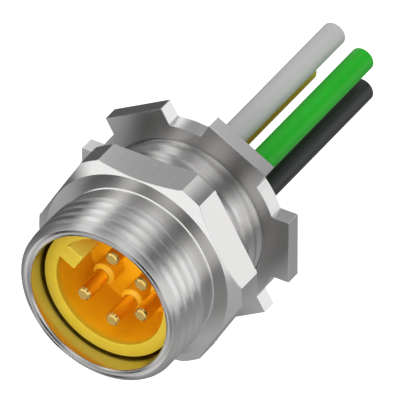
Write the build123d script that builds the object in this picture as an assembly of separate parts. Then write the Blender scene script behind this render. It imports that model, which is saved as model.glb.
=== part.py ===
from build123d import *
import math
import os

# Five-pin panel receptacle: a turned shell with a hexagonal flange, a moulded contact insert,
# five pins with their soldered leads, a cast filling behind them and a six-lugged lock nut.
# Millimetres. The connector's axis is Y: a plug mates from -Y, and the leads leave towards +Y.
# The origin is on the axis, in the plane of the flange's rear face, which seats on the panel.

# Flange: a hexagon turned down at its corners, with a chamfer on its front. Across its flats it
# holds the seal's groove and a rim outside that, which comes to 25.4 mm
flange_rim = 0.85
flange_corner_d = 28.0
flange_thickness = 4.55
flange_face_inset = 0.2
flange_chamfer_deg = 30.0
flange_edge_break = 0.15
flange_neck_bevel = 0.2

# Coupling thread, in front of the flange
coupling_thread_d = 22.1
coupling_length = 8.85
coupling_lead_in_radial = 0.85
coupling_lead_in_axial = 0.8
coupling_relief_depth = 0.6
coupling_relief_width = 2.05

# Mounting thread, behind the flange
mounting_thread_d = 20.9
mounting_length = 10.5
mounting_lead_in = 0.9
mounting_relief_depth = 0.85
mounting_relief_width = 1.6

# Bore of the shell: a wide front bore, a shoulder for the insert and a narrower rear bore
front_wall = 1.8
mouth_edge_break = 0.2
shoulder_setback = 2.6
shoulder_height = 1.05
rear_bore_edge_break = 0.4

# Groove in the flange's rear face, and the square-cut sealing ring in it
seal_groove_width = 1.4
seal_groove_depth = 1.0
seal_proud = 0.3

# Contact insert: a cup with a polarising key, and a sleeve round the root of each pin
rim_setback = 2.65
cup_wall = 1.65
cup_depth = 7.55
cup_edge_break = 0.12
collar_length = 4.4
spigot_length = 3.6
key_width = 2.3
key_reach_radius = 5.0
key_angle_deg = 150.0
pin_circle_d = 9.08
pin_positions = 6
sleeve_wall = 0.26
sleeve_height = 2.75
sleeve_chamfer = 0.45

# Pins: a turned contact with a chamfered tip, a heavier body behind a shoulder, and a solder cup
pin_d = 1.9
pin_tip_setback = 3.1
pin_tip_chamfer = 0.3
pin_shoulder = 0.2
pin_shoulder_cover = 0.15
solder_cup_length = 3.6
solder_cup_bore_depth = 3.0
solder_cup_opening = 2.2
solder_cup_lip = 0.25

# Leads: a stranded conductor in an insulating tube, cut square together
lead_d = 3.1
conductor_d = 1.5
conductor_start_gap = 0.1
strip_gap = 0.1
lead_end_y = 41.2
lead_colours = ("yellow", "red", "black", "green", "white")

# Filling cast behind the insert
filling_setback = 1.2

# Lock nut: a flat ring with six lugs, shown part of the way down the mounting thread
nut_lug_overreach = 0.28
nut_lug_height = 1.54
nut_lug_width = 8.9
nut_lug_count = 6
nut_root_fillet = 0.5
nut_thickness = 2.15
nut_setback = 1.78
nut_bore_edge_break = 0.25

# Clearances between pieces
cup_gap = 0.3
collar_gap = 0.05
spigot_gap = 0.1
seal_side_gap = 0.05
pin_fit_gap = 0.03
conductor_gap = 0.05
insulation_gap = 0.03
filling_gap = 0.03
nut_thread_gap = 0.06

# Diameters that follow from the walls, steps and clearances above
coupling_relief_d = coupling_thread_d - 2 * coupling_relief_depth
mounting_relief_d = mounting_thread_d - 2 * mounting_relief_depth
mouth_d = coupling_thread_d - 2 * front_wall
rear_bore_d = mouth_d - 2 * shoulder_height
seal_groove_inner_d = mounting_thread_d
seal_groove_outer_d = seal_groove_inner_d + 2 * seal_groove_width
flange_across_flats = seal_groove_outer_d + 2 * flange_rim
flange_face_d = flange_across_flats - 2 * flange_face_inset
cup_outer_d = mouth_d - 2 * cup_gap
cup_bore_d = cup_outer_d - 2 * cup_wall
collar_d = mouth_d - 2 * collar_gap
spigot_d = rear_bore_d - 2 * spigot_gap
pin_body_d = pin_d + 2 * pin_shoulder
pin_body_hole_d = pin_body_d + 2 * pin_fit_gap
sleeve_d = pin_body_hole_d + 2 * sleeve_wall
solder_cup_bore_d = conductor_d + 2 * conductor_gap
nut_across_lugs = flange_corner_d + 2 * nut_lug_overreach
nut_ring_d = nut_across_lugs - 2 * nut_lug_height

# Planes along the axis, worked out from the sizes above
flange_front_y = -flange_thickness
rim_y = flange_front_y - coupling_length
shoulder_y = -shoulder_setback
insert_rim_y = rim_y + rim_setback
cup_floor_y = insert_rim_y + cup_depth
sleeve_top_y = cup_floor_y - sleeve_height
insert_rear_y = shoulder_y + spigot_length
pin_tip_y = rim_y + pin_tip_setback
pin_shoulder_y = sleeve_top_y + pin_shoulder_cover
cup_mouth_y = insert_rear_y + solder_cup_length
conductor_start_y = cup_mouth_y - solder_cup_bore_depth + conductor_start_gap
insulation_start_y = cup_mouth_y + strip_gap
filling_end_y = mounting_length - filling_setback
nut_front_y = mounting_length - nut_setback - nut_thickness


def turned(points):
    """A solid of revolution about the connector's axis, from (radius, y) points."""
    outline = make_face(Polyline(*points, close=True))
    return revolve(outline, Axis.Y, 360)


def rod(diameter, y_low, y_high):
    """A plain round rod on the axis."""
    radius = diameter / 2
    return turned([(0, y_low), (radius, y_low), (radius, y_high), (0, y_high)])


def prism(outline, y_low, y_high):
    """A flat outline, drawn in X and Z, made into a plate between two planes across the axis."""
    return extrude(Plane.XZ.offset(-y_high) * outline, y_high - y_low)


def pin_angles():
    """The pins stand at five of six equal places; the key takes the sixth."""
    pitch = 360 / pin_positions
    return [(key_angle_deg + pitch * place) % 360 for place in range(1, pin_positions)]


def at_pin(solid, angle_deg):
    """Moves a solid from the axis out to a pin's place on the pin circle."""
    angle = math.radians(angle_deg)
    radius = pin_circle_d / 2
    return Pos(radius * math.cos(angle), 0, radius * math.sin(angle)) * solid


def flange():
    """The hexagon, with its corners and its front chamfer turned."""
    hexagon = RegularPolygon(flange_across_flats / 2, 6, major_radius=False)
    blank = prism(hexagon, flange_front_y, 0)
    face_r = flange_face_d / 2
    corner_r = flange_corner_d / 2
    chamfer_length = (corner_r - face_r) * math.tan(math.radians(flange_chamfer_deg))
    envelope = turned([
        (0, flange_front_y),
        (face_r, flange_front_y),
        (corner_r, flange_front_y + chamfer_length),
        (corner_r, -flange_edge_break),
        (corner_r - flange_edge_break, 0),
        (0, 0),
    ])
    return blank & envelope


def coupling_barrel():
    """The front barrel: lead-in, thread at its full diameter, relief, and the bevel at the flange."""
    thread_r = coupling_thread_d / 2
    relief_r = coupling_relief_d / 2
    relief_start = flange_front_y - coupling_relief_width
    return turned([
        (0, rim_y),
        (thread_r - coupling_lead_in_radial, rim_y),
        (thread_r, rim_y + coupling_lead_in_axial),
        (thread_r, relief_start - coupling_relief_depth),
        (relief_r, relief_start),
        (relief_r, flange_front_y - flange_neck_bevel),
        (relief_r + flange_neck_bevel, flange_front_y),
        (0, flange_front_y),
    ])


def mounting_barrel():
    """The rear barrel: relief behind the flange, thread at its full diameter, and the lead-in."""
    thread_r = mounting_thread_d / 2
    relief_r = mounting_relief_d / 2
    return turned([
        (0, 0),
        (relief_r, 0),
        (relief_r, mounting_relief_width),
        (thread_r, mounting_relief_width + mounting_relief_depth / 2),
        (thread_r, mounting_length - mounting_lead_in),
        (thread_r - mounting_lead_in, mounting_length),
        (0, mounting_length),
    ])


def shell_bore():
    """What is drilled out of the shell: mouth, front bore, shoulder and rear bore."""
    mouth_r = mouth_d / 2
    rear_r = rear_bore_d / 2
    return turned([
        (0, rim_y),
        (mouth_r + mouth_edge_break, rim_y),
        (mouth_r, rim_y + mouth_edge_break),
        (mouth_r, shoulder_y),
        (rear_r, shoulder_y),
        (rear_r, mounting_length - rear_bore_edge_break),
        (rear_r + rear_bore_edge_break, mounting_length),
        (0, mounting_length),
    ])


def seal_groove():
    """The ring groove cut in the flange's rear face."""
    inner_r = seal_groove_inner_d / 2
    outer_r = seal_groove_outer_d / 2
    return turned([
        (inner_r, -seal_groove_depth),
        (outer_r, -seal_groove_depth),
        (outer_r, 0),
        (inner_r, 0),
    ])


def shell():
    return flange() + coupling_barrel() + mounting_barrel() - shell_bore() - seal_groove()


def flange_seal():
    """A square-cut ring that lies on its groove's floor and stands a little proud of the flange."""
    inner_r = seal_groove_inner_d / 2 + seal_side_gap
    outer_r = seal_groove_outer_d / 2 - seal_side_gap
    return turned([
        (inner_r, -seal_groove_depth),
        (outer_r, -seal_groove_depth),
        (outer_r, seal_proud),
        (inner_r, seal_proud),
    ])


def insert_body():
    """The insert's outside: thin cup, fitted collar on the shoulder, and the spigot behind it."""
    cup_r = cup_outer_d / 2
    collar_r = collar_d / 2
    spigot_r = spigot_d / 2
    collar_start = shoulder_y - collar_length
    return turned([
        (0, insert_rim_y),
        (cup_r - cup_edge_break, insert_rim_y),
        (cup_r, insert_rim_y + cup_edge_break),
        (cup_r, collar_start),
        (collar_r, collar_start),
        (collar_r, shoulder_y),
        (spigot_r, shoulder_y),
        (spigot_r, insert_rear_y),
        (0, insert_rear_y),
    ])


def polarising_key():
    """A rib down the cup's wall, from its rim to its floor."""
    reach = cup_outer_d / 2 - key_reach_radius - (cup_outer_d - cup_bore_d) / 4
    middle = key_reach_radius + reach / 2
    rib = Rot(0, 0, key_angle_deg) * Pos(middle, 0) * Rectangle(reach, key_width)
    return prism(rib, insert_rim_y, cup_floor_y)


def pin_sleeve():
    """The moulded sleeve round one pin's root, chamfered at its top."""
    sleeve_r = sleeve_d / 2
    return turned([
        (0, sleeve_top_y),
        (sleeve_r - sleeve_chamfer, sleeve_top_y),
        (sleeve_r, sleeve_top_y + sleeve_chamfer),
        (sleeve_r, cup_floor_y),
        (0, cup_floor_y),
    ])


def pin_hole():
    """The stepped hole that one pin is pressed into from behind, up to the lip at its top."""
    front_r = pin_d / 2 + pin_fit_gap
    body_r = pin_body_hole_d / 2
    return turned([
        (0, sleeve_top_y),
        (front_r, sleeve_top_y),
        (front_r, pin_shoulder_y),
        (body_r, pin_shoulder_y + pin_shoulder),
        (body_r, insert_rear_y),
        (0, insert_rear_y),
    ])


def contact_insert():
    body = insert_body() - rod(cup_bore_d, insert_rim_y, cup_floor_y)
    body += polarising_key()
    for angle in pin_angles():
        body += at_pin(pin_sleeve(), angle)
    for angle in pin_angles():
        body -= at_pin(pin_hole(), angle)
    return body


def pin():
    """One contact on the axis: tip, shank, tapered shoulder, heavier body and open solder cup."""
    front_r = pin_d / 2
    body_r = pin_body_d / 2
    body = turned([
        (0, pin_tip_y),
        (front_r - pin_tip_chamfer, pin_tip_y),
        (front_r, pin_tip_y + pin_tip_chamfer),
        (front_r, pin_shoulder_y),
        (body_r, pin_shoulder_y + pin_shoulder),
        (body_r, cup_mouth_y),
        (0, cup_mouth_y),
    ])
    body -= rod(solder_cup_bore_d, cup_mouth_y - solder_cup_bore_depth, cup_mouth_y)
    opening = Pos(0, solder_cup_lip + body_r) * Rectangle(2 * pin_body_d, pin_body_d)
    return body - prism(opening, cup_mouth_y - solder_cup_opening, cup_mouth_y)


def conductor():
    """The bare end in the solder cup and the strands through the whole lead, as one rod."""
    return rod(conductor_d, conductor_start_y, lead_end_y)


def insulation():
    inner_d = conductor_d + 2 * insulation_gap
    return rod(lead_d, insulation_start_y, lead_end_y) - rod(inner_d, insulation_start_y, lead_end_y)


def lead_space():
    """The room that one solder cup and the lead behind it take up in the filling."""
    cup_r = pin_body_d / 2 + filling_gap
    lead_r = lead_d / 2 + filling_gap
    step_y = insulation_start_y - filling_gap
    return turned([
        (0, insert_rear_y),
        (cup_r, insert_rear_y),
        (cup_r, step_y),
        (lead_r, step_y),
        (lead_r, filling_end_y),
        (0, filling_end_y),
    ])


def cast_filling():
    body = rod(rear_bore_d - 2 * filling_gap, insert_rear_y, filling_end_y)
    for angle in pin_angles():
        body -= at_pin(lead_space(), angle)
    return body


def nut_outline():
    """The ring and its six square lugs, with a small fillet where each lug leaves the ring."""
    lug_reach = nut_across_lugs / 2
    outline = Circle(nut_ring_d / 2)
    for lug in range(nut_lug_count):
        turn = Rot(0, 0, 360 / nut_lug_count * lug)
        outline += turn * Pos(lug_reach / 2, 0) * Rectangle(lug_reach, nut_lug_width)
    roots = [v for v in outline.vertices() if math.hypot(v.X, v.Y) < nut_ring_d / 2 + 0.01]
    return fillet(roots, nut_root_fillet)


def nut_bore():
    """The nut's bore over the thread's crests, chamfered on both faces."""
    bore_r = mounting_thread_d / 2 + nut_thread_gap
    rear_y = nut_front_y + nut_thickness
    return turned([
        (0, nut_front_y),
        (bore_r + nut_bore_edge_break, nut_front_y),
        (bore_r, nut_front_y + nut_bore_edge_break),
        (bore_r, rear_y - nut_bore_edge_break),
        (bore_r + nut_bore_edge_break, rear_y),
        (0, rear_y),
    ])


def lock_nut():
    return prism(nut_outline(), nut_front_y, nut_front_y + nut_thickness) - nut_bore()


def build_nodes():
    nodes = {
        "shell": shell(),
        "flange_seal": flange_seal(),
        "contact_insert": contact_insert(),
        "cast_filling": cast_filling(),
        "lock_nut": lock_nut(),
    }
    for number, (angle, colour) in enumerate(zip(pin_angles(), lead_colours), start=1):
        nodes[f"pin_{number}"] = at_pin(pin(), angle)
        nodes[f"conductor_{number}"] = at_pin(conductor(), angle)
        nodes[f"lead_{colour}"] = at_pin(insulation(), angle)
    return nodes


os.makedirs("parts", exist_ok=True)
for name, solid in build_nodes().items():
    export_step(solid, f"parts/{name}.step")
    print(name, round(solid.volume, 3), "mm3")
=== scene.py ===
# %% [markdown]
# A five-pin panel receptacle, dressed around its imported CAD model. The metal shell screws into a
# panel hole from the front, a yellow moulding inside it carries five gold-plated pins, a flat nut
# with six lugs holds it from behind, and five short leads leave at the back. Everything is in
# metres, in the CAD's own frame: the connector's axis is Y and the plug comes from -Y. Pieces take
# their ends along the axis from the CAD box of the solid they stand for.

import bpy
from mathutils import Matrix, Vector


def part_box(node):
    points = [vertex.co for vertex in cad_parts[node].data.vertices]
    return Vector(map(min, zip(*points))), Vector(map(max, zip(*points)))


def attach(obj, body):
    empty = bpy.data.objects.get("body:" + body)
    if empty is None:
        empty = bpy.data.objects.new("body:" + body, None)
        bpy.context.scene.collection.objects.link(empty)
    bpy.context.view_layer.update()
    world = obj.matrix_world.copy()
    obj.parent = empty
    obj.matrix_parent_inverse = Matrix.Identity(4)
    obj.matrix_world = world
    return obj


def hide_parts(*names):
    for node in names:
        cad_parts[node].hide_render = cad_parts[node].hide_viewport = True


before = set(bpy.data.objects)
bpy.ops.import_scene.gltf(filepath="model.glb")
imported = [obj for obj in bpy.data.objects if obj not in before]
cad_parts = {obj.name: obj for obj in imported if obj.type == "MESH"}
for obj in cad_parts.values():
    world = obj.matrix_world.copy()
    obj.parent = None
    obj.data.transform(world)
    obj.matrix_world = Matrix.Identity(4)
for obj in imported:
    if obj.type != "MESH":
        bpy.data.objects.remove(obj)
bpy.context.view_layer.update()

import math

import bpy
from mathutils import Matrix, Vector

MM = 0.001


def span_y(node):
    """Where a CAD piece starts and ends along the axis, in mm."""
    return [round(corner.y / MM, 4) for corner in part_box(node)]


# %% [markdown]
# The photograph shows the part in parallel projection, from in front, from its right and from
# above. Directions in the picture were measured on the hexagon, the nut and the round edges, and
# they give the camera's azimuth and elevation. A very long lens from two metres away keeps the
# lines parallel to within a pixel. The camera aims at the middle of the picture.

# %% Camera
VIEW_AZIMUTH = math.radians(30.9)
VIEW_ELEVATION = math.radians(37.5)
PICTURE_WIDTH_MM = 47.22
CENTRE_RIGHT_MM = 5.15
CENTRE_UP_MM = 5.26
LENS_MM = 1700
SENSOR_MM = 36
CLIP_END_M = 10

right = Vector((math.cos(VIEW_AZIMUTH), math.sin(VIEW_AZIMUTH), 0))
back = Vector((
    math.sin(VIEW_AZIMUTH) * math.cos(VIEW_ELEVATION),
    -math.cos(VIEW_AZIMUTH) * math.cos(VIEW_ELEVATION),
    math.sin(VIEW_ELEVATION),
))
up = back.cross(right)
aim = (right * CENTRE_RIGHT_MM + up * CENTRE_UP_MM) * MM
distance = PICTURE_WIDTH_MM * MM * LENS_MM / SENSOR_MM

camera = bpy.data.objects.new("camera", bpy.data.cameras.new("camera"))
bpy.context.scene.collection.objects.link(camera)
camera.data.lens = LENS_MM
camera.data.sensor_width = SENSOR_MM
camera.data.clip_end = CLIP_END_M
camera.matrix_world = Matrix((right, up, back)).transposed().to_4x4()
camera.location = aim + back * distance
bpy.context.scene.camera = camera
bpy.context.scene.view_settings.view_transform = "Standard"
print("camera distance in m:", round(distance, 3))

# %% [markdown]
# A material is a small tree of nodes. One function turns the sRGB hex values, in which colours
# are read off a picture, into the linear numbers that the shader wants. One function adds a node,
# sets its options and fills its inputs, either with a value or with another node's output.

# %% Colour and node helpers
def linear(hex_value):
    """An sRGB hex colour as linear red, green, blue and alpha."""
    channels = [int(hex_value[i:i + 2], 16) / 255 for i in (1, 3, 5)]
    return (*[c / 12.92 if c <= 0.04045 else ((c + 0.055) / 1.055) ** 2.4 for c in channels], 1)


def add_node(tree, kind, options=None, **inputs):
    """Adds a node. Inputs are named in lower case, with _ for a space, and i0, i1 by place."""
    node = tree.nodes.new(kind)
    for name, value in (options or {}).items():
        setattr(node, name, value)
    for name, value in inputs.items():
        if name[0] == "i" and name[1:].isdigit():
            socket = node.inputs[int(name[1:])]
        else:
            socket = next(s for s in node.inputs if s.name.lower().replace(" ", "_") == name)
        if isinstance(value, bpy.types.NodeSocket):
            tree.links.new(value, socket)
        else:
            socket.default_value = value
    return node


def new_material(name):
    """A material with an empty tree."""
    material = bpy.data.materials.new(name)
    material.use_nodes = True
    material.node_tree.nodes.clear()
    return material, material.node_tree


print("#808080 is", round(linear("#808080")[0], 3), "in linear light")

# %% [markdown]
# The studio is plain: a pale floor well below the part and a white room. Both are white to the
# camera and to reflections, which Light Path tells apart from the light that falls on the part.
# So the background is white without more light on the part, and the floor still takes a shadow.

# %% Floor and room
FLOOR_Z = -210 * MM
FLOOR_SIZE_M = 3
FLOOR_GLOW = 0.9
ROOM_LIGHT = 0.45


def seen_directly(tree):
    """1 for rays from the camera, and for rays that metal or glass sends on."""
    path = add_node(tree, "ShaderNodeLightPath")
    shown = path.outputs["Is Camera Ray"]
    for name in ("Is Glossy Ray", "Is Transmission Ray"):
        shown = add_node(
            tree, "ShaderNodeMath", {"operation": "MAXIMUM"}, i0=shown, i1=path.outputs[name]
        ).outputs[0]
    return shown


world = bpy.data.worlds.new("white_room")
bpy.context.scene.world = world
world.use_nodes = True
tree = world.node_tree
tree.nodes.clear()
strength = add_node(
    tree, "ShaderNodeMapRange", value=seen_directly(tree), to_min=ROOM_LIGHT, to_max=1.0
)
room = add_node(
    tree, "ShaderNodeBackground", color=linear("#FFFFFF"), strength=strength.outputs[0]
)
add_node(tree, "ShaderNodeOutputWorld", surface=room.outputs[0])

floor_material, tree = new_material("white_paper_backdrop")
paper = add_node(tree, "ShaderNodeBsdfDiffuse", color=linear("#B8B8B8"))
glow_strength = add_node(
    tree, "ShaderNodeMath", {"operation": "MULTIPLY"}, i0=seen_directly(tree), i1=FLOOR_GLOW
)
glow = add_node(
    tree, "ShaderNodeEmission", color=linear("#FFFFFF"), strength=glow_strength.outputs[0]
)
both = add_node(tree, "ShaderNodeAddShader", i0=paper.outputs[0], i1=glow.outputs[0])
add_node(tree, "ShaderNodeOutputMaterial", surface=both.outputs[0])

bpy.ops.object.select_all(action="DESELECT")
bpy.ops.mesh.primitive_plane_add(size=FLOOR_SIZE_M, location=(0, 0, FLOOR_Z))
floor = bpy.context.active_object
floor.name = "floor"
floor.data.materials.append(floor_material)
print("floor at", round(FLOOR_Z / MM), "mm")

# %% [markdown]
# Four soft square lamps light the part at a plain level: one from above, one from the right, and
# two from in front, on either side, that reach the floor and the walls of the contact cup. Metal
# doesn't mirror them, because a lamp's square would show as a hard white patch on the flats. What
# metal mirrors comes next.

# %% Lamps
LAMP_DISTANCE_M = 0.7
LAMPS = [
    ("lamp_above", (-0.2, -0.5, 0.85), 0.6, 2.2),
    ("lamp_right", (0.95, -0.1, 0.3), 0.5, 1.2),
    ("lamp_front", (0.32, -0.9, 0.3), 0.4, 2.8),
    ("lamp_left", (-0.38, -0.92, 0.05), 0.4, 1.9),
]

for name, direction, size_m, watts in LAMPS:
    lamp = bpy.data.objects.new(name, bpy.data.lights.new(name, "AREA"))
    bpy.context.scene.collection.objects.link(lamp)
    lamp.data.shape = "SQUARE"
    lamp.data.size = size_m
    lamp.data.energy = watts
    toward = Vector(direction).normalized()
    lamp.location = toward * LAMP_DISTANCE_M
    lamp.rotation_euler = toward.to_track_quat("Z", "Y").to_euler()
    lamp.visible_glossy = False
    print(name, watts, "W")

# %% [markdown]
# Plated metal shows its shape only if something dark is mirrored in it, so a photographer puts a
# tent round it and darkens parts of the tent. Here the tent is a sphere of film that only
# reflections see. It takes light away from the white room behind it, by up to all of it. What a
# polished face mirrors depends on the way it faces: the direction halfway between the eye and the
# tent. So the film is painted by that direction, in one row of greys for faces that look outwards
# from the axis, one for the flange's chamfer, and one for faces that look forwards. Each row gives
# greys by the angle round the axis, counted from +X towards +Z. On turned faces, whose marks
# spread a reflection across themselves, opposite angles look the same, so the forward row repeats
# after half a turn.

# %% Rows of greys
SIDE_GREYS = [
    (-180, 0.22), (-145, 0.24), (-60, 0.21), (-30, 0.20), (-12, 0.29), (-5, 0.29), (6, 0.22),
    (14, 0.19), (20, 0.66), (26, 0.96), (30, 0.90), (36, 0.96), (41, 0.66), (47, 0.25), (53, 0.12),
    (58, 0.30), (64, 0.72), (71, 0.86), (78, 0.50), (84, 0.31), (90, 0.35), (95, 1.0), (102, 1.0),
    (107, 0.45), (113, 0.08), (120, 0.11), (145, 0.06), (180, 0.22),
]
CHAMFER_GREYS = [
    (-180, 0.26), (-150, 0.25), (12, 0.27), (35, 1.0), (118, 1.0), (126, 0.50), (133, 0.12),
    (145, 0.14), (180, 0.26),
]
FORWARD_GREYS = [
    (0, 0.19), (8, 0.11), (15, 0.12), (22, 0.26), (30, 0.40), (35, 0.20), (39, 0.0), (58, 0.0),
    (62, 0.32), (67, 0.42), (71, 0.34), (77, 0.18), (83, 0.15), (91, 0.27), (97, 0.21),
    (105, 0.08), (115, 0.0), (122, 0.10), (132, 0.36), (140, 0.43), (158, 0.42), (166, 0.29),
    (174, 0.24), (180, 0.19),
]
MIDDLE_GREY = 0.33
TENT_R_M = 0.2


def row_of_greys(tree, share, greys):
    """A row's greys, by how far round it a direction is, from 0 to 1."""
    ramp = add_node(tree, "ShaderNodeValToRGB", fac=share)
    stops = ramp.color_ramp.elements
    while len(stops) < len(greys):
        stops.new(1.0)
    first, last = greys[0][0], greys[-1][0]
    for stop, (degrees, grey) in zip(stops, greys):
        stop.position = (degrees - first) / (last - first)
        stop.color = (grey, grey, grey, 1)
    return ramp.outputs[0]


def blend_rows(tree, facing, stretch, first, second):
    """The first row until facing comes to the stretch, and the second row after it."""
    share = add_node(
        tree, "ShaderNodeMapRange", value=facing, from_min=stretch[0], from_max=stretch[1]
    )
    return add_node(
        tree, "ShaderNodeMix", {"data_type": "RGBA"}, i0=share.outputs[0], i6=first, i7=second
    ).outputs[2]


print(len(SIDE_GREYS) + len(CHAMFER_GREYS) + len(FORWARD_GREYS), "greys in three rows")

# %% [markdown]
# The film is a transparent shader with a grey tint. Arctangent gives the angle round the axis,
# and the Y part of the halfway direction says how much a face looks forwards: 0 is outwards, and
# -1 is straight forwards. Faces that lean forwards by half, such as the thread's lead-in at -0.73,
# get the outward row with a part of its light lost. The flange's chamfer lies 30 degrees off
# straight forwards, so it is at -0.87. Each row gives way to the next one over a short stretch,
# and the last one to a single grey, since straight forwards there is no angle round the axis.

# %% Tent
SIDE_TO_LEANING = (-0.60, -0.70)
LEANING_LOSS = 0.27
LEANING_TO_CHAMFER = (-0.825, -0.84)
CHAMFER_TO_FORWARD = (-0.885, -0.90)
FORWARD_TO_MIDDLE = (-0.997, -0.9993)
TENT_SEGMENTS = 96

material, tree = new_material("grey_film")
place = add_node(tree, "ShaderNodeTexCoord").outputs["Object"]
toward = add_node(tree, "ShaderNodeVectorMath", {"operation": "NORMALIZE"}, i0=place).outputs[0]
middle = add_node(
    tree, "ShaderNodeVectorMath", {"operation": "ADD"}, i0=toward, i1=tuple(back)
).outputs[0]
halfway = add_node(tree, "ShaderNodeVectorMath", {"operation": "NORMALIZE"}, i0=middle).outputs[0]
parts = add_node(tree, "ShaderNodeSeparateXYZ", vector=halfway)
turn = add_node(
    tree, "ShaderNodeMath", {"operation": "ARCTAN2"}, i0=parts.outputs["Z"], i1=parts.outputs["X"]
)
share = add_node(
    tree, "ShaderNodeMapRange", value=turn.outputs[0], from_min=-math.pi, from_max=math.pi
).outputs[0]
doubled = add_node(tree, "ShaderNodeMath", {"operation": "MULTIPLY"}, i0=share, i1=2.0).outputs[0]
half_share = add_node(tree, "ShaderNodeMath", {"operation": "FRACT"}, i0=doubled).outputs[0]
facing = parts.outputs["Y"]
side_row = row_of_greys(tree, share, SIDE_GREYS)
chamfer_row = row_of_greys(tree, share, CHAMFER_GREYS)
forward_row = row_of_greys(tree, half_share, FORWARD_GREYS)
leaning_row = add_node(
    tree, "ShaderNodeMix", {"data_type": "RGBA"}, i0=LEANING_LOSS, i6=side_row,
    i7=linear("#000000"),
).outputs[2]
greys = blend_rows(tree, facing, SIDE_TO_LEANING, side_row, leaning_row)
greys = blend_rows(tree, facing, LEANING_TO_CHAMFER, greys, chamfer_row)
greys = blend_rows(tree, facing, CHAMFER_TO_FORWARD, greys, forward_row)
greys = blend_rows(tree, facing, FORWARD_TO_MIDDLE, greys, (*[MIDDLE_GREY] * 3, 1))
film = add_node(tree, "ShaderNodeBsdfTransparent", color=greys)
add_node(tree, "ShaderNodeOutputMaterial", surface=film.outputs[0])

bpy.ops.object.select_all(action="DESELECT")
bpy.ops.mesh.primitive_uv_sphere_add(
    segments=TENT_SEGMENTS, ring_count=TENT_SEGMENTS // 2, radius=TENT_R_M
)
tent = bpy.context.active_object
tent.name = "film_tent"
tent.data.materials.append(material)
for kind in ("camera", "diffuse", "shadow", "transmission"):
    setattr(tent, f"visible_{kind}", False)
print(tent.name, "radius in mm:", round(TENT_R_M / MM))

# %% [markdown]
# Every piece is modelled as by hand. An operator acts on all that is selected, so these helpers
# leave one piece selected before they open it or change it. Doubled points are merged and faces
# turned outwards each time edit mode ends.

# %% Edit mode helpers
MERGE_MM = 0.0005


def select_only(piece):
    """Makes one piece the selected and the active one."""
    bpy.ops.object.select_all(action="DESELECT")
    bpy.context.view_layer.objects.active = piece
    piece.select_set(True)


def start_edit(piece):
    """Opens one piece for editing, alone, with all of it selected."""
    select_only(piece)
    bpy.ops.object.mode_set(mode="EDIT")
    bpy.ops.mesh.select_all(action="SELECT")


def tidy_edit():
    """Merges doubled points, turns all faces outwards and leaves edit mode."""
    bpy.ops.mesh.select_all(action="SELECT")
    bpy.ops.mesh.remove_doubles(threshold=MERGE_MM * MM)
    bpy.ops.mesh.normals_make_consistent(inside=False)
    bpy.ops.object.mode_set(mode="OBJECT")


def extrude_along(distance_mm):
    """Extrudes what is selected along the axis."""
    bpy.ops.mesh.extrude_region_move(TRANSFORM_OT_translate={"value": (0, distance_mm * MM, 0)})


print("points closer than", MERGE_MM, "mm are merged")

# %% [markdown]
# Most of the pieces were turned, so the commonest helper is a lathe. A ring of edges is added at
# the first station of the section, extruded to each next station and scaled to its radius there.
# A ring that comes back to its start gives a hollow piece, and one that starts filled gives a
# solid piece. Spin would do the same from a drawn section, but a ring needs no seam to be merged.

# %% Lathe
def add_ring(name, radius, y, sides, filled):
    """A ring of edges round the axis, in mm, with its place in its mesh."""
    bpy.ops.object.select_all(action="DESELECT")
    bpy.ops.mesh.primitive_circle_add(
        vertices=sides, radius=radius * MM, location=(0, y * MM, 0),
        rotation=(math.pi / 2, 0, 0), fill_type="NGON" if filled else "NOTHING",
    )
    ring = bpy.context.active_object
    ring.name = name
    bpy.ops.object.transform_apply(location=True, rotation=True, scale=True)
    return ring


def lathe(name, stations, sides, solid=False):
    """A turned piece through (radius, y) stations in mm. A solid one is closed at both ends."""
    radius, y = stations[0]
    piece = add_ring(name, radius, y, sides, solid)
    start_edit(piece)
    route = stations[1:] if solid else stations[1:] + stations[:1]
    for next_radius, next_y in route:
        extrude_along(next_y - y)
        share = next_radius / radius
        bpy.ops.transform.resize(
            value=(share, 1, share), center_override=(0, next_y * MM, 0)
        )
        radius, y = next_radius, next_y
    tidy_edit()
    return piece


print("the lathe turns about Y")

# %% [markdown]
# A boolean modifier does the work of a drill, a mill or a threading tool, and its tool is deleted
# afterwards. Smooth shading by angle keeps real edges sharp, and Weighted Normal lets a large
# flat face stay flat beside its small bevels. Each finished piece is hung from the empty of the
# body it moves with, and the CAD solid that it stands for is hidden.

# %% Modifier helpers
def apply_modifier(piece, kind, **settings):
    """Adds a modifier, sets it and applies it."""
    modifier = piece.modifiers.new(kind.lower(), kind)
    for name, value in settings.items():
        setattr(modifier, name, value)
    select_only(piece)
    bpy.ops.object.modifier_apply(modifier=modifier.name)


def break_edges(piece, width_mm, segments, sharper_than):
    """A small bevel on every edge sharper than an angle in degrees."""
    apply_modifier(
        piece, "BEVEL", width=width_mm * MM, segments=segments, limit_method="ANGLE",
        angle_limit=math.radians(sharper_than),
    )


def cut(piece, tool, operation="DIFFERENCE"):
    """Takes the tool from the piece, or adds it with UNION, and deletes the tool."""
    apply_modifier(piece, "BOOLEAN", operation=operation, solver="EXACT", object=tool)
    bpy.data.objects.remove(tool)


def smooth(piece, sharp_from=24):
    """Smooth shading up to an angle in degrees, that leaves large flat faces flat."""
    select_only(piece)
    bpy.ops.object.shade_smooth_by_angle(angle=math.radians(sharp_from))
    apply_modifier(piece, "WEIGHTED_NORMAL", mode="FACE_AREA", weight=100, keep_sharp=True)


def finish_piece(piece, body, node):
    """Hangs a finished piece from its body's empty and hides the CAD solid it stands for."""
    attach(piece, body)
    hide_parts(node)
    print(piece.name, len(piece.data.polygons), "faces")


def copy_of(piece, name):
    """A copy with a mesh of its own."""
    copy = piece.copy()
    copy.data = piece.data.copy()
    copy.name = name
    bpy.context.scene.collection.objects.link(copy)
    return copy


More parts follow.
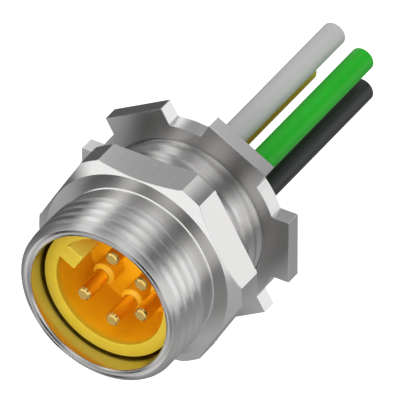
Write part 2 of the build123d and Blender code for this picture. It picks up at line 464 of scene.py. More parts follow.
# %% [markdown]
# A thread is cut on the lathe by a tool that moves along while the bar turns. Here the tool is a
# closed outline with the shape of the groove's section, and the Screw modifier sweeps it along
# its helix. Its two ends are filled, so that it is a solid a boolean can use. The groove has 60
# degree flanks and a flat root, and it flares at the crest, which leaves the crest's edges
# rounded, as plating does.

# %% Threading tool
FLANK_SLOPE = math.tan(math.radians(30))
TOOL_CLEAR = 0.6
TOOL_WIDENS = 1.1
TOOL_STEPS = 128


def thread_tool(crest_r, depth, root_flat, flare, pitch, start_y, end_y):
    """The swept section of a groove, in mm. It is right-handed about Y."""
    half_root = root_flat / 2
    half_crest = half_root + (depth - flare) * FLANK_SLOPE
    half_top = half_crest + (TOOL_CLEAR + flare) * TOOL_WIDENS
    rows = [
        (crest_r - depth, half_root), (crest_r - flare, half_crest),
        (crest_r + TOOL_CLEAR, half_top),
    ]
    section = [(r, half) for r, half in rows] + [(r, -half) for r, half in reversed(rows)]
    tool = add_ring("thread_tool", crest_r, start_y, len(section), False)
    for point, (radius, along) in zip(tool.data.vertices, section):
        point.co = Vector((radius, start_y + along, 0)) * MM
    turns = (end_y - start_y) / pitch
    steps = int(TOOL_STEPS * turns)
    apply_modifier(
        tool, "SCREW", axis="Y", angle=-2 * math.pi * turns, steps=steps, render_steps=steps,
        screw_offset=(end_y - start_y) * MM, use_merge_vertices=False,
    )
    start_edit(tool)
    bpy.ops.mesh.select_mode(type="EDGE")
    bpy.ops.mesh.select_all(action="DESELECT")
    bpy.ops.mesh.select_non_manifold()
    bpy.ops.mesh.fill_holes(sides=0)
    tidy_edit()
    return tool


print("thread flanks lean", round(math.degrees(math.atan(FLANK_SLOPE))), "degrees each side")

# %% [markdown]
# The shell is one turned piece of brass. Its whole section goes through the lathe, from the mouth
# along the outside to the rear and back through the bore, with the flange as a plain disc. The
# disc's front is turned to a 30 degree chamfer, and a very small one of the same slope joins it to
# the neck, where it catches the light as a thin line. The disc's rear face is the plane of the
# origin, where the panel comes, and it has a groove for the seal.

# %% Shell on the lathe
RIM_Y, REAR_Y = span_y("shell")
FLANGE_Y = -4.55
THREAD_R = 11.05
THREAD_END_Y = -7.2
THREAD_RELIEF_R = 10.45
THREAD_RELIEF_Y = -6.6
MOUNT_R = 10.45
MOUNT_START_Y = 2.025
MOUNT_RELIEF_R = 9.6
MOUNT_RELIEF_Y = 1.6
CORNER_R = 14.0
CHAMFER_R = 12.5
CHAMFER_SLOPE = math.tan(math.radians(30))
CHAMFER_REAR_Y = FLANGE_Y + (CORNER_R - CHAMFER_R) * CHAMFER_SLOPE
EDGE_BREAK = 0.15
NECK_BEVEL = 0.2
NECK_R = THREAD_RELIEF_R + NECK_BEVEL
SEAL_R = 11.85
SEAL_GROOVE = 1.0
BORE_R = 9.25
REAR_BORE_R = 8.2
REAR_BREAK = 0.4
SHOULDER_Y = -2.6
MOUTH_BREAK = 0.2
FRONT_LEAD_IN = (0.85, 0.8)
REAR_LEAD_IN = 0.9
SHELL_SIDES = 192

shell = lathe("threaded_shell", [
    (BORE_R + MOUTH_BREAK, RIM_Y), (THREAD_R - FRONT_LEAD_IN[0], RIM_Y),
    (THREAD_R, RIM_Y + FRONT_LEAD_IN[1]), (THREAD_R, THREAD_END_Y),
    (THREAD_RELIEF_R, THREAD_RELIEF_Y),
    (THREAD_RELIEF_R, FLANGE_Y - NECK_BEVEL * CHAMFER_SLOPE), (NECK_R, FLANGE_Y),
    (CHAMFER_R, FLANGE_Y), (CORNER_R, CHAMFER_REAR_Y), (CORNER_R, -EDGE_BREAK),
    (CORNER_R - EDGE_BREAK, 0), (SEAL_R, 0), (SEAL_R, -SEAL_GROOVE), (MOUNT_R, -SEAL_GROOVE),
    (MOUNT_R, 0), (MOUNT_RELIEF_R, 0), (MOUNT_RELIEF_R, MOUNT_RELIEF_Y),
    (MOUNT_R, MOUNT_START_Y), (MOUNT_R, REAR_Y - REAR_LEAD_IN), (MOUNT_R - REAR_LEAD_IN, REAR_Y),
    (REAR_BORE_R + REAR_BREAK, REAR_Y), (REAR_BORE_R, REAR_Y - REAR_BREAK),
    (REAR_BORE_R, SHOULDER_Y), (BORE_R, SHOULDER_Y), (BORE_R, RIM_Y + MOUTH_BREAK),
], SHELL_SIDES)
print(shell.name, "from", RIM_Y, "to", REAR_Y, "mm")

# %% [markdown]
# The hexagon is milled from the disc by six bisect cuts that fill what they open. They stand
# further out than the two threads, so they touch the flange alone, and they leave a round face at
# each corner, as on a nut that was turned from hexagonal bar. A small bevel breaks every edge
# before the threads are cut, because an edge that catches no light looks drawn and not made.

# %% Hexagon
HEX_APOTHEM = 12.7
HEX_FIRST_SIDE = 30
SIXTH_TURN = 60
SHELL_BEVEL = 0.06

start_edit(shell)
for side in range(6):
    angle = math.radians(HEX_FIRST_SIDE + SIXTH_TURN * side)
    outward = Vector((math.cos(angle), 0, math.sin(angle)))
    bpy.ops.mesh.select_all(action="SELECT")
    bpy.ops.mesh.bisect(
        plane_co=outward * HEX_APOTHEM * MM, plane_no=outward, use_fill=True, clear_outer=True
    )
tidy_edit()
break_edges(shell, SHELL_BEVEL, segments=1, sharper_than=35)
print("hexagon", 2 * HEX_APOTHEM, "mm across its flats")

# %% [markdown]
# Two threads are cut. The one in front, for the plug's coupling ring, is 7/8-16 and runs into
# the relief before the flange. The mounting thread behind it is coarser, with deeper and rounder
# grooves. Each tool starts off the end of its thread, so that the first turn fades in.

# %% Shell threads
COUPLING_PITCH = 25.4 / 16
COUPLING_DEPTH = 0.52
COUPLING_ROOT_FLAT = 0.16
COUPLING_FLARE = 0.06
COUPLING_TOOL_Y = (RIM_Y - 1.2, -6.0)
MOUNT_PITCH = 25.4 / 14
MOUNT_DEPTH = 0.82
MOUNT_ROOT_FLAT = 0.25
MOUNT_FLARE = 0.09
MOUNT_TOOL_Y = (0.8, 11.8)

cut(shell, thread_tool(
    THREAD_R, COUPLING_DEPTH, COUPLING_ROOT_FLAT, COUPLING_FLARE, COUPLING_PITCH, *COUPLING_TOOL_Y
))
cut(shell, thread_tool(
    MOUNT_R, MOUNT_DEPTH, MOUNT_ROOT_FLAT, MOUNT_FLARE, MOUNT_PITCH, *MOUNT_TOOL_Y
))
smooth(shell)
finish_piece(shell, "receptacle", "shell")

# %% [markdown]
# The lock nut is stamped from plate and tapped: a ring with six square lugs. Union of a disc and
# three bars would leave slivers where they cross, so the outline is worked out instead, one sixth
# at a time. A sixth is a lug, a root on each side of it, and the ring up to the next lug. The
# press leaves the roots a little rounded.

# %% Nut outline
NUT_FRONT_Y, NUT_REAR_Y = span_y("lock_nut")
NUT_RING_R = 12.74
LUG_R = 14.28
LUG_WIDTH = 8.9
ROOT_FILLET = 0.2
FILLET_STEPS = 5
RING_STEPS = 9


def turned_by(points, degrees):
    """Points of a flat outline, turned about the axis."""
    c, n = math.cos(math.radians(degrees)), math.sin(math.radians(degrees))
    return [(c * u - n * v, n * u + c * v) for u, v in points]


def lug_outline():
    """One sixth of the nut's outline: a lug with its two rounded roots, and the ring after it."""
    half = LUG_WIDTH / 2
    centre_v = half + ROOT_FILLET
    centre_u = math.sqrt((NUT_RING_R + ROOT_FILLET) ** 2 - centre_v ** 2)
    ring_from = math.atan2(centre_v, centre_u)
    upper = [(LUG_R, half)]
    for step in range(FILLET_STEPS + 1):
        angle = -math.pi / 2 - step / FILLET_STEPS * (math.pi / 2 - ring_from)
        upper.append((
            centre_u + ROOT_FILLET * math.cos(angle), centre_v + ROOT_FILLET * math.sin(angle)
        ))
    lower = [(u, -v) for u, v in reversed(upper)]
    ring = []
    for step in range(1, RING_STEPS):
        angle = ring_from + step / RING_STEPS * (math.radians(SIXTH_TURN) - 2 * ring_from)
        ring.append((NUT_RING_R * math.cos(angle), NUT_RING_R * math.sin(angle)))
    return lower + upper + ring


outline = [point for lug in range(6) for point in turned_by(lug_outline(), SIXTH_TURN * lug)]
print(len(outline), "points round the nut")

# %% [markdown]
# The outline is laid over a filled circle with as many points, and extruded to the plate's
# thickness. The bevel is for the sheared edges of the plate and the lugs' corners, and leaves the
# roots alone, because their facets meet at far smaller angles.

# %% Nut blank
NUT_BEVEL = 0.1

nut = add_ring("lugged_nut", NUT_RING_R, NUT_FRONT_Y, len(outline), True)
for point, (x, z) in zip(nut.data.vertices, outline):
    point.co = Vector((x, NUT_FRONT_Y, z)) * MM
start_edit(nut)
extrude_along(NUT_REAR_Y - NUT_FRONT_Y)
tidy_edit()
break_edges(nut, NUT_BEVEL, segments=3, sharper_than=50)
print("nut", round(NUT_REAR_Y - NUT_FRONT_Y, 2), "mm thick")

# %% [markdown]
# The bore is countersunk on both faces and then tapped. The tap is a bolt with the shell's own
# thread, a little larger all round: the same tool, pitch and start cut it, with a narrower
# groove. So the nut's thread meshes with the shell's at rest, and again after each whole turn.

# %% Nut bore and thread
TAP_R = MOUNT_R + 0.06
TAP_ROOT_FLAT = 0.13
SINK_R = 10.76
SINK_REACH = 1.0
TAP_OVERRUN = 1.2
BORE_SIDES = 192

for face_y, inwards in ((NUT_FRONT_Y, SINK_REACH), (NUT_REAR_Y, -SINK_REACH)):
    sink = lathe("countersink", [
        (SINK_R + SINK_REACH, face_y - inwards), (SINK_R, face_y),
        (SINK_R - SINK_REACH, face_y + inwards),
    ], BORE_SIDES, solid=True)
    cut(nut, sink)
tap = lathe("tap", [
    (TAP_R, NUT_FRONT_Y - TAP_OVERRUN), (TAP_R, NUT_REAR_Y + TAP_OVERRUN)
], BORE_SIDES, solid=True)
cut(tap, thread_tool(TAP_R, MOUNT_DEPTH, TAP_ROOT_FLAT, MOUNT_FLARE, MOUNT_PITCH, *MOUNT_TOOL_Y))
cut(nut, tap)
smooth(nut)
finish_piece(nut, "lock_nut", "lock_nut")

# %% [markdown]
# The contact insert is one moulding that is pushed into the shell from the front until its collar
# meets the shoulder. In front of the collar it is a cup, which a plug's nose enters. It is turned
# as one solid whose last stations go back in at the mouth, and every edge of the mouth is
# rounded, as moulded edges are.

# %% Cup
CUP_RIM_Y, SPIGOT_Y = span_y("contact_insert")
CUP_FLOOR_Y = CUP_RIM_Y + 7.55
CUP_R = 7.3
CUP_WALL_R = 8.95
COLLAR_R = 9.2
COLLAR_Y = -7.0
SPIGOT_R = 8.1
OUTER_ROUND = 0.12
OUTER_ROUND_MID = (0.05, 0.03)
INNER_ROUND = 0.16
INNER_ROUND_MID = 0.05
FLOOR_FILLET = 0.3
FILLET_MID = 0.3 * FLOOR_FILLET
INSERT_SIDES = 160

insert = lathe("moulded_insert", [
    (SPIGOT_R, SPIGOT_Y), (SPIGOT_R, SHOULDER_Y), (COLLAR_R, SHOULDER_Y), (COLLAR_R, COLLAR_Y),
    (CUP_WALL_R, COLLAR_Y), (CUP_WALL_R, CUP_RIM_Y + OUTER_ROUND),
    (CUP_WALL_R - OUTER_ROUND_MID[0], CUP_RIM_Y + OUTER_ROUND_MID[1]),
    (CUP_WALL_R - OUTER_ROUND, CUP_RIM_Y), (CUP_R + INNER_ROUND, CUP_RIM_Y),
    (CUP_R + INNER_ROUND_MID, CUP_RIM_Y + INNER_ROUND_MID),
    (CUP_R, CUP_RIM_Y + INNER_ROUND), (CUP_R, CUP_FLOOR_Y - FLOOR_FILLET),
    (CUP_R - FILLET_MID, CUP_FLOOR_Y - FILLET_MID), (CUP_R - FLOOR_FILLET, CUP_FLOOR_Y),
], INSERT_SIDES, solid=True)
print("cup", round(CUP_FLOOR_Y - CUP_RIM_Y, 2), "mm deep")

# %% [markdown]
# A key runs down the cup's wall, so that the plug goes in one way only, and a sleeve stands round
# the root of each pin. Both belong to the same moulding, so they are joined to the cup by union
# and not just pushed into it. Five of six places on the pins' circle are used.

# %% Key and sleeves
PIN_CIRCLE_R = 4.54
PIN_ANGLES = [210, 270, 330, 30, 90]
KEY_ANGLE = 150
KEY_WIDTH = 2.3
KEY_FROM_R = 5.0
KEY_TO_R = 8.1
KEY_SUNK = 0.5
KEY_BEVEL = 0.15
SLEEVE_R = 1.44
SLEEVE_TOP_Y = -5.95
SLEEVE_CHAMFER = 0.45
SLEEVE_SIDES = 64


def at_pin(angle_deg):
    """The place of a pin, as a shift from the axis."""
    angle = math.radians(angle_deg)
    return Matrix.Translation(Vector((math.cos(angle), 0, math.sin(angle))) * PIN_CIRCLE_R * MM)


def add_block(low, high):
    """A block between two corners in mm, with its place in its mesh."""
    low, high = Vector(low), Vector(high)
    bpy.ops.object.select_all(action="DESELECT")
    bpy.ops.mesh.primitive_cube_add(
        size=1, location=(low + high) / 2 * MM, scale=(high - low) * MM
    )
    bpy.ops.object.transform_apply(location=True, rotation=True, scale=True)
    return bpy.context.active_object


key = add_block(
    (KEY_FROM_R, CUP_RIM_Y, -KEY_WIDTH / 2), (KEY_TO_R, CUP_FLOOR_Y + KEY_SUNK, KEY_WIDTH / 2)
)
break_edges(key, KEY_BEVEL, segments=3, sharper_than=35)
key.data.transform(Matrix.Rotation(-math.radians(KEY_ANGLE), 4, "Y"))
cut(insert, key, "UNION")
for angle in PIN_ANGLES:
    sleeve = lathe("sleeve", [
        (SLEEVE_R, CUP_FLOOR_Y + KEY_SUNK), (SLEEVE_R, SLEEVE_TOP_Y + SLEEVE_CHAMFER),
        (SLEEVE_R - SLEEVE_CHAMFER, SLEEVE_TOP_Y),
    ], SLEEVE_SIDES, solid=True)
    sleeve.data.transform(at_pin(angle))
    cut(insert, sleeve, "UNION")
print("joined a key and", len(PIN_ANGLES), "sleeves")

# %% [markdown]
# Each pin sits in a stepped hole, which is narrow only at the sleeve's top, where the pin's
# shoulder bears. The holes are drilled last, through sleeve and floor in one go.

# %% Holes
HOLE_R = 1.18
TOP_HOLE_R = 0.98
SEAT_Y = -5.6
SEAT_TOP_Y = -5.8
DRILL_REAR_Y = SPIGOT_Y + 0.5
DRILL_FRONT_Y = SLEEVE_TOP_Y - 0.55
DRILL_SIDES = 48

for angle in PIN_ANGLES:
    drill = lathe("drill", [
        (HOLE_R, DRILL_REAR_Y), (HOLE_R, SEAT_Y), (TOP_HOLE_R, SEAT_TOP_Y),
        (TOP_HOLE_R, DRILL_FRONT_Y),
    ], DRILL_SIDES, solid=True)
    drill.data.transform(at_pin(angle))
    cut(insert, drill)
smooth(insert)
finish_piece(insert, "receptacle", "contact_insert")

# %% [markdown]
# A pin is turned from bar: a tip with two chamfers, of which the first is as flat as the flange's
# and glints as it does, the shank that the plug's socket grips, a tapered shoulder, the body that
# the moulding holds, and a solder cup at the rear, which is milled open on one side. It is
# modelled once on the axis, and each pin is a copy with its own mesh, moved to its place.

# %% Pins
PIN_TIP_Y, PIN_REAR_Y = span_y("pin_1")
PIN_R = 0.95
BODY_R = 1.15
TIP_R = 0.6
TIP_EDGE_R = 0.8
TIP_EDGE_Y = PIN_TIP_Y + 0.115
TIP_END_Y = PIN_TIP_Y + 0.345
SOLDER_CUP_R = 0.8
SOLDER_CUP_BOTTOM_Y = 1.6
OPENING_LOW = (-2, 2.4, 0.25)
OPENING_HIGH = (2, PIN_REAR_Y + 0.2, 2.55)
PIN_SIDES = 64

model_pin = lathe("gold_pin_1", [
    (TIP_R, PIN_TIP_Y), (TIP_EDGE_R, TIP_EDGE_Y), (PIN_R, TIP_END_Y), (PIN_R, SEAT_TOP_Y),
    (BODY_R, SEAT_Y), (BODY_R, PIN_REAR_Y), (SOLDER_CUP_R, PIN_REAR_Y),
    (SOLDER_CUP_R, SOLDER_CUP_BOTTOM_Y),
], PIN_SIDES, solid=True)
cut(model_pin, add_block(OPENING_LOW, OPENING_HIGH))
smooth(model_pin)
pins = [model_pin] + [copy_of(model_pin, f"gold_pin_{number}") for number in range(2, 6)]
for number, (pin, angle) in enumerate(zip(pins, PIN_ANGLES), start=1):
    pin.data.transform(at_pin(angle))
    finish_piece(pin, "receptacle", f"pin_{number}")

# %% [markdown]
# Inside each lead are nineteen tinned strands: one, six round it and twelve round those, twisted
# together. The strands are cylinders, cut into short lengths by bisect so that the Simple Deform
# modifier can twist them. Each strand has only a few sides, because little more than its cut end
# ever shows.

# %% Strands
STRAND_R = 0.148
STRAND_SIDES = 10
STRAND_START_Y = 1.7
STRAND_LENGTHS = 40
STRAND_LAY = 22.0
LEAD_START_Y, LEAD_END_Y = span_y("lead_white")


def strand_places():
    """Where the strands lie in the bundle, in mm from its middle."""
    places = [(0, 0)]
    for ring, count in ((1, 6), (2, 12)):
        reach = ring * 2 * STRAND_R
        for step in range(count):
            angle = 2 * math.pi * step / count
            places.append((reach * math.cos(angle), reach * math.sin(angle)))
    return places


def strand_bundle(name):
    """Nineteen strands in a twisted bundle, on the axis."""
    length = LEAD_END_Y - STRAND_START_Y
    bpy.ops.object.select_all(action="DESELECT")
    strands = []
    for x, z in strand_places():
        bpy.ops.mesh.primitive_cylinder_add(
            vertices=STRAND_SIDES, radius=STRAND_R * MM, depth=length * MM,
            location=(x * MM, 0, z * MM), rotation=(math.pi / 2, 0, 0),
        )
        strands.append(bpy.context.active_object)
    for strand in strands:
        strand.select_set(True)
    bpy.ops.object.join()
    bundle = bpy.context.active_object
    bundle.name = name
    bpy.ops.object.transform_apply(location=True, rotation=True, scale=True)
    start_edit(bundle)
    for step in range(1, STRAND_LENGTHS):
        bpy.ops.mesh.select_all(action="SELECT")
        bpy.ops.mesh.bisect(
            plane_co=(0, (step / STRAND_LENGTHS - 0.5) * length * MM, 0), plane_no=(0, 1, 0)
        )
    bpy.ops.object.mode_set(mode="OBJECT")
    apply_modifier(
        bundle, "SIMPLE_DEFORM", deform_method="TWIST", deform_axis="Y",
        angle=2 * math.pi * length / STRAND_LAY,
    )
    bundle.data.transform(Matrix.Translation((0, (STRAND_START_Y + length / 2) * MM, 0)))
    smooth(bundle, sharp_from=50)
    return bundle


model_bundle = strand_bundle("strands_model")
print("one turn of the strands in", STRAND_LAY, "mm")

# %% [markdown]
# The insulation is extruded over the strands and cut square at its end. It follows a NURBS spline
# through the lead's own points, more than two. The curve is given the tube's outer radius, made a
# mesh, and Solidify gives it its wall.

# %% Insulation
LEAD_R = 1.55
CONDUCTOR_R = 0.75
CONDUCTOR_CLEAR = 0.03
ROUTE_Y = (LEAD_START_Y, 16.0, 24.0, 32.0, LEAD_END_Y)


def lead_route(name, shift):
    """The lead's centreline as an open NURBS curve."""
    curve = bpy.data.curves.new(name, "CURVE")
    curve.dimensions = "3D"
    curve.resolution_u = 6
    spline = curve.splines.new("NURBS")
    spline.points.add(len(ROUTE_Y) - 1)
    for point, y in zip(spline.points, ROUTE_Y):
        point.co = (*(shift @ Vector((0, y * MM, 0))), 1)
    spline.order_u = 3
    spline.use_endpoint_u = True
    route = bpy.data.objects.new(name, curve)
    bpy.context.scene.collection.objects.link(route)
    return route


def tube_along(route):
    """The insulating tube round a route, and the points that it follows."""
    path = [tuple(v.co) for v in bpy.data.meshes.new_from_object(route).vertices]
    route.data.bevel_depth = LEAD_R * MM
    route.data.bevel_resolution = 10
    select_only(route)
    bpy.ops.object.convert(target="MESH")
    tube = bpy.context.active_object
    apply_modifier(
        tube, "SOLIDIFY", offset=-1, use_rim=True,
        thickness=(LEAD_R - CONDUCTOR_R - CONDUCTOR_CLEAR) * MM,
    )
    smooth(tube, sharp_from=40)
    return tube, path


print("insulation", round(LEAD_R - CONDUCTOR_R, 2), "mm thick")

# %% [markdown]
# Each lead has a colour of its own. The red one is hidden behind the others in the photograph, so
# its colour is a guess. A lead leaves the part at the filling's rear face, and its length counts
# from its start inside the filling to its cut end. The photograph shows the free part of it.

# %% Leads
LEAD_COLOURS = ["yellow", "red", "black", "green", "white"]

for number, (colour, angle) in enumerate(zip(LEAD_COLOURS, PIN_ANGLES), start=1):
    shift = at_pin(angle)
    strands = copy_of(model_bundle, f"strands_{colour}")
    strands.data.transform(shift)
    finish_piece(strands, "receptacle", f"conductor_{number}")
    tube, path = tube_along(lead_route(f"insulation_{colour}", shift))
    finish_piece(tube, "receptacle", f"lead_{colour}")
bpy.data.objects.remove(model_bundle)

# %% [markdown]
# Now the finishes. Every pattern reads Object coordinates, in metres and in the frame of the
# whole part, because all the pieces have their place in their mesh. So a pattern's scale is one
# over its real size. A grain can be drawn out along the axis, as on extruded or drawn stock, by a
# Mapping node that squeezes Y.

# %% Finish helpers
NOISE_DETAIL = 3.0
NOISE_LOW, NOISE_HIGH = 0.3, 0.7


def object_place(tree):
    """Object coordinates."""
    return add_node(tree, "ShaderNodeTexCoord").outputs["Object"]


def round_axis(tree):
    """A point's place across the axis, its distance from it and its place along it."""
    parts = add_node(tree, "ShaderNodeSeparateXYZ", vector=object_place(tree))
    across = add_node(
        tree, "ShaderNodeCombineXYZ", x=parts.outputs["X"], z=parts.outputs["Z"]
    ).outputs[0]
    radius = add_node(tree, "ShaderNodeVectorMath", {"operation": "LENGTH"}, i0=across)
    return across, radius.outputs["Value"], parts.outputs["Y"]


def grain(tree, size_mm, drawn_out=1.0):
    """Soft noise with grains of a real size, drawn out along the axis."""
    squeezed = add_node(
        tree, "ShaderNodeMapping", vector=object_place(tree), scale=(1.0, 1 / drawn_out, 1.0)
    )
    return add_node(
        tree, "ShaderNodeTexNoise", vector=squeezed.outputs[0], scale=1 / (size_mm * MM),
        detail=NOISE_DETAIL,
    ).outputs[0]


def spread(tree, value, middle, reach):
    """Noise, which lies mostly between its low and high, as a value around a middle."""
    return add_node(
        tree, "ShaderNodeMapRange", value=value, from_min=NOISE_LOW, from_max=NOISE_HIGH,
        to_min=middle - reach, to_max=middle + reach,
    ).outputs[0]


def relief(tree, height, strength, depth_mm):
    """A bumped normal."""
    return add_node(
        tree, "ShaderNodeBump", height=height, strength=strength, distance=depth_mm * MM
    ).outputs[0]


def finish_tree(material, tree, **shader_inputs):
    """Closes a tree with a Principled shader and the output."""
    shader = add_node(tree, "ShaderNodeBsdfPrincipled", **shader_inputs)
    add_node(tree, "ShaderNodeOutputMaterial", surface=shader.outputs[0])
    print(material.name, "with", len(tree.nodes), "nodes")
    return material


def dress(piece, *materials):
    """Gives a piece its materials."""
    piece.data.materials.clear()
    for material in materials:
        piece.data.materials.append(material)


print("finishes read Object coordinates")

# %% [markdown]
# Shell and nut are brass, turned and then nickel plated: a white metal with a slightly warm tone,
# too thin a layer to hide the tool's marks. Those marks are rings round the axis, about a tenth
# of a millimetre apart. They spread a reflection across themselves and hardly along, so light
# and dark stretches run out from the axis like spokes. In the shader that is strong anisotropy,
# with a tangent that runs round the axis, turned by a quarter. Faces cut square to the axis get a
# darker copy of the plate. That is painted shade for their coarser marks shading each other, and
# it also dims the threads that these faces mirror.

# %% Turned nickel plate
NICKEL = "#F0EFEE"
MARK_MM = 0.12
TURNED_ROUGHNESS = 0.29
ANISOTROPY = 0.93
QUARTER_TURN = 0.25


def turned_plate(name, colour):
    """Plate over rings of tool marks about Y."""
    material, tree = new_material(name)
    across, radius, along = round_axis(tree)
    ring = add_node(tree, "ShaderNodeCombineXYZ", x=radius, y=along).outputs[0]
    marks = add_node(
        tree, "ShaderNodeTexNoise", vector=ring, scale=1 / (MARK_MM * MM), detail=NOISE_DETAIL,
        roughness=0.6,
    ).outputs[0]
    around = add_node(
        tree, "ShaderNodeVectorMath", {"operation": "CROSS_PRODUCT"}, i0=(0.0, 1.0, 0.0), i1=across
    ).outputs[0]
    return finish_tree(
        material, tree, base_color=linear(colour), metallic=1.0,
        roughness=spread(tree, marks, TURNED_ROUGHNESS, reach=0.012), anisotropic=ANISOTROPY,
        anisotropic_rotation=QUARTER_TURN, tangent=around,
        normal=relief(tree, marks, strength=0.006, depth_mm=0.02),
    )


turned = turned_plate("turned_nickel_plate", NICKEL)
# Painted shade: faces square to the axis get this darker copy of the turned plate.
faced_painted_shade = turned_plate("faced_nickel_plate", "#DAD9D8")

# %% [markdown]
# The same plate lies on surfaces without rings. The hexagon's sides are the skin of the drawn bar
# and the lugs' sides are sheared, so both are bright, and so are the mouth and both chamfers of
# the flange, which a fine cut leaves nearly polished. Faint lines along the axis are left from
# drawing. Deep in the bore less metal is deposited, and the plate is duller there. Its darker
# colour is painted shade for the recess.

# %% Smooth nickel plate
def smooth_plate(name, colour, roughness, grain_mm, drawn_out=1.0, strength=0.01):
    """Metal with an even gloss and a faint grain."""
    material, tree = new_material(name)
    pattern = grain(tree, grain_mm, drawn_out)
    return finish_tree(
        material, tree, base_color=linear(colour), metallic=1.0,
        roughness=spread(tree, pattern, roughness, reach=0.03),
        normal=relief(tree, pattern, strength, depth_mm=0.02),
    )


bright = smooth_plate(
    "bright_nickel_plate", NICKEL, roughness=0.12, grain_mm=0.3, drawn_out=14.0
)
# Painted shade: the bore's plate is darker as well as duller, for the recess it lines.
dull_and_painted_shade = smooth_plate("dull_nickel_plate", "#D4D2CC", roughness=0.22, grain_mm=0.2)

# %% [markdown]
# A face gets its finish by its place and the way it faces. On the shell a rule finds the bore,
# then the mouth, the flange's two chamfers and the hexagon's sides, and then the faces cut square
# to the axis, which get the darker copy with painted shade. The rest is turned. On the nut the
# lugs' sides and ends are bright and both faces get that darker copy with painted shade.

# %% Finishes on the shell and the nut
FINISHES = [turned, faced_painted_shade, bright, dull_and_painted_shade]
SQUARE_TO_AXIS = 0.98
CHAMFER_FACES = (-0.9, -0.8)
ALONG_AXIS = 0.01
OFF_SIDE_DEG = 0.5
SIDEWAYS = 0.5
MOUTH_DEPTH = 0.1
BORE_MARGIN = 0.05
LUG_FACES_R = NUT_RING_R + 0.8


def looks_along_axis(face):
    """Whether a face is square to the axis."""
    return abs(face.normal.y) > SQUARE_TO_AXIS


def shell_finish(face, middle, reach):
    """The finish of one face of the shell. Middle and reach, from the axis, are in mm."""
    turn = math.degrees(math.atan2(face.normal.z, face.normal.x))
    half_side = SIXTH_TURN / 2
    off_side = abs((turn - HEX_FIRST_SIDE + half_side) % SIXTH_TURN - half_side)
    mouth = middle.y < RIM_Y + MOUTH_DEPTH and face.normal.y < CHAMFER_FACES[0]
    on_flange = FLANGE_Y < middle.y and reach > SEAL_R
    on_neck = THREAD_RELIEF_R < reach < NECK_R
    sloped = CHAMFER_FACES[0] < face.normal.y < CHAMFER_FACES[1]
    chamfer = sloped and (on_flange or on_neck)
    side = on_flange and abs(face.normal.y) < ALONG_AXIS and off_side < OFF_SIDE_DEG
    if reach < BORE_R + BORE_MARGIN:
        return dull_and_painted_shade
    if mouth or chamfer or side:
        return bright
    return faced_painted_shade if looks_along_axis(face) else turned


def nut_finish(face, middle, reach):
    """The finish of one face of the nut."""
    if looks_along_axis(face):
        return faced_painted_shade
    return bright if abs(face.normal.y) < SIDEWAYS and reach > LUG_FACES_R else turned


def dress_by_rule(piece, rule):
    """Gives each face the finish that the rule picks."""
    dress(piece, *FINISHES)
    counts = [0] * len(FINISHES)
    for face in piece.data.polygons:
        middle = sum((piece.data.vertices[i].co for i in face.vertices), Vector())
        middle = middle / len(face.vertices) / MM
        chosen = FINISHES.index(rule(face, middle, math.hypot(middle.x, middle.z)))
        face.material_index = chosen
        counts[chosen] += 1
    print(piece.name, dict(zip([finish.name for finish in FINISHES], counts)))


dress_by_rule(shell, shell_finish)
dress_by_rule(nut, nut_finish)

# %% [markdown]
# The pins are brass with a thin coat of hard gold, paler than pure gold and satin, as it copies
# the turned metal below. Their tips are burnished by the tool that chamfers them and by every
# plug, so they are glossier, and they are found by their place. The strands are copper with a dull
# tin coat. All of these are metals without rings that could be seen at this size, so the smooth
# plate's tree serves with other colours and grains.

# %% Gold and tin
gold = smooth_plate(
    "hard_gold_plate", "#FFE084", roughness=0.31, grain_mm=0.15, strength=0.02
)
burnished = smooth_plate(
    "burnished_gold_plate", "#FFD67A", roughness=0.16, grain_mm=0.15, strength=0.02
)
tin = smooth_plate("tinned_copper", "#C8C0B4", roughness=0.32, grain_mm=0.1, strength=0.05)
for pin in pins:
    dress(pin, gold, burnished)
    for face in pin.data.polygons:
        places = [pin.data.vertices[i].co.y for i in face.vertices]
        face.material_index = int(max(places) < (TIP_END_Y + MERGE_MM) * MM)
for colour in LEAD_COLOURS:
    dress(bpy.data.objects[f"strands_{colour}"], tin)

# %% [markdown]
# The insert is moulded polyamide, yellow all through. Its colour carries painted light: orange,
# painted in deeper than the rim, stands in for light that bounces between the yellow walls, so the
# colour goes from yellow at the rim to orange just behind it. The key is painted paler, as light
# from three sides would make it, and its orange comes on more slowly. A fine grain from the eroded
# mould breaks its gloss, and slow clouds in the colour come from how the melt flowed. The real
# grain is about 0.05 mm. It is drawn at 0.15 mm, so that it can show.

# %% Moulded polyamide, with painted light
PAINTED_ORANGE_DEPTH = (0.15, 1.15)
KEY_FADE = (0.2, 0.05)
KEY_SHARE = 0.2
KEY_FRONT = 0.04


def plastic(name, base, grain_mm, drawn_out, roughness, strength):
    """Plastic with a grain. Base is a function that makes the colour from the tree."""
    material, tree = new_material(name)
    pattern = grain(tree, grain_mm, drawn_out)
    return finish_tree(
        material, tree, base_color=base(tree),
        roughness=spread(tree, pattern, roughness, reach=0.05),
        normal=relief(tree, pattern, strength, depth_mm=0.02),
    )


def clouded(tree, colour, shade, cloud_mm=2.0):
    """A colour with soft clouds of a second shade."""
    share = spread(tree, grain(tree, cloud_mm), middle=0.5, reach=0.5)
    return add_node(
        tree, "ShaderNodeMix", {"data_type": "RGBA"}, i0=share, i6=linear(colour), i7=linear(shade)
    ).outputs[2]


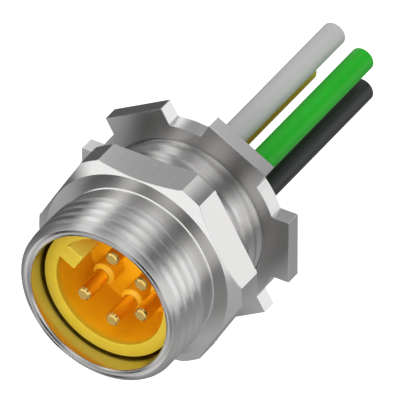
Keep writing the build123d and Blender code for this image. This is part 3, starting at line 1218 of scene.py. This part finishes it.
def cup_colour_and_painted_light(tree):
    """Yellow at the rim, then painted orange bounce light, slower on the paler painted key."""
    radius, along = round_axis(tree)[1:]
    pace = add_node(
        tree, "ShaderNodeMapRange", value=radius, from_min=(CUP_R - KEY_FADE[0]) * MM,
        from_max=(CUP_R - KEY_FADE[1]) * MM, to_min=KEY_SHARE, to_max=1.0,
    ).outputs[0]
    past_rim = add_node(
        tree, "ShaderNodeMath", {"operation": "SUBTRACT"}, i0=along, i1=CUP_RIM_Y * MM
    ).outputs[0]
    paced = add_node(
        tree, "ShaderNodeMath", {"operation": "MULTIPLY"}, i0=past_rim, i1=pace
    ).outputs[0]
    depth = add_node(
        tree, "ShaderNodeMapRange", value=paced, from_min=PAINTED_ORANGE_DEPTH[0] * MM,
        from_max=PAINTED_ORANGE_DEPTH[1] * MM,
    )
    inside = add_node(
        tree, "ShaderNodeMath", {"operation": "LESS_THAN"}, i0=pace, i1=(KEY_SHARE + 1) / 2
    ).outputs[0]
    behind = add_node(
        tree, "ShaderNodeMath", {"operation": "GREATER_THAN"}, i0=past_rim, i1=KEY_FRONT * MM
    ).outputs[0]
    painted_lit_key = add_node(tree, "ShaderNodeMath", {"operation": "MULTIPLY"}, i0=inside, i1=behind)
    # Painted light: the key's sides are painted a paler yellow, as if lit from three sides.
    yellow = add_node(
        tree, "ShaderNodeMix", {"data_type": "RGBA"}, i0=painted_lit_key.outputs[0],
        i6=clouded(tree, "#C4A829", "#BFA225"), i7=linear("#F2E45A"),
    ).outputs[2]
    # Painted bounce light: deeper in the cup the yellow is mixed to orange.
    return add_node(
        tree, "ShaderNodeMix", {"data_type": "RGBA"}, i0=depth.outputs[0], i6=yellow,
        i7=clouded(tree, "#EBAA10", "#E5A40C"),
    ).outputs[2]


polyamide_painted_light = plastic(
    "moulded_polyamide", cup_colour_and_painted_light, grain_mm=0.15, drawn_out=1.0, roughness=0.36, strength=0.1
)
dress(insert, polyamide_painted_light)

# %% [markdown]
# The leads' insulation is PVC, pressed through a round die round the strands. The die leaves very
# faint lines along the lead, which show in the gloss and not in the colour. The gloss is satin,
# because plasticiser works its way to the surface.

# %% Extruded PVC
PVC_COLOURS = {
    "yellow": ("#D2D420", "#CACB1C"), "red": ("#A81C16", "#A01812"),
    "black": ("#2A2E2B", "#262A27"), "green": ("#10AC12", "#0EA610"),
    "white": ("#BCBCBC", "#B8B8B8"),
}

for colour, shades in PVC_COLOURS.items():
    pvc = plastic(
        f"{colour}_pvc", lambda tree: clouded(tree, *shades), grain_mm=0.25, drawn_out=40.0,
        roughness=0.46, strength=0.12,
    )
    dress(bpy.data.objects[f"insulation_{colour}"], pvc)

# %% [markdown]
# Behind the insert the shell is filled with black epoxy, poured in and left to level itself, so
# it is glossy with slow waves. The seal in the flange's groove is nitrile rubber, matt from the
# talc that keeps such rings apart. Both shapes come from the CAD as they are, and only their
# material is new.

# %% Resin and rubber
resin = plastic(
    "cast_epoxy", lambda tree: linear("#1C1C1E"), grain_mm=1.5, drawn_out=1.0, roughness=0.28,
    strength=0.25,
)
rubber = plastic(
    "talced_nitrile_rubber", lambda tree: clouded(tree, "#161616", "#1A1A1A"), grain_mm=0.2,
    drawn_out=1.0, roughness=0.7, strength=0.3,
)
dress(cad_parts["cast_filling"], resin)
dress(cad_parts["flange_seal"], rubber)
